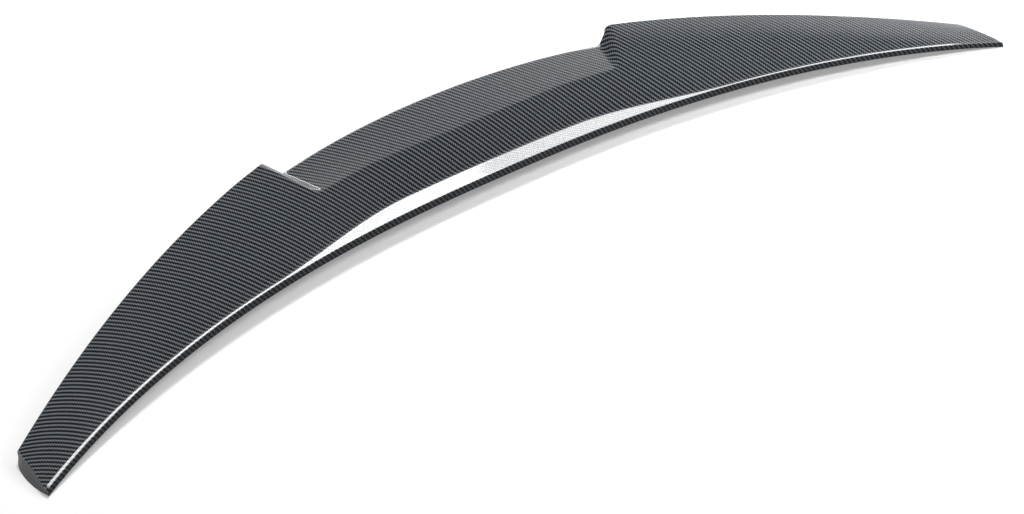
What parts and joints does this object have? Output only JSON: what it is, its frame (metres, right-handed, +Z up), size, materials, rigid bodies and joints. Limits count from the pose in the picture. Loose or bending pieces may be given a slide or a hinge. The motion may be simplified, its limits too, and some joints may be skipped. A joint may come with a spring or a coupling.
{
  "type": "car rear spoiler",
  "caption": "Crescent-shaped boot-lid spoiler with a ramp rising to a raised trailing edge, a recessed middle between two shoulders, and a glossy dark twill weave finish.",
  "frame": {"origin": "centre of the footprint on the plane that the rear foot and the tips stand on", "axes": "+X along the span, +Y towards the rear of the car, +Z up"},
  "size_m": [1.2054, 0.2384, 0.0663],
  "materials": {
    "lacquered_twill": "charcoal twill weave under clear gloss lacquer"
  },
  "bodies": {
    "root": {"spoiler_body": "lacquered_twill"}
  },
  "joints": []
}
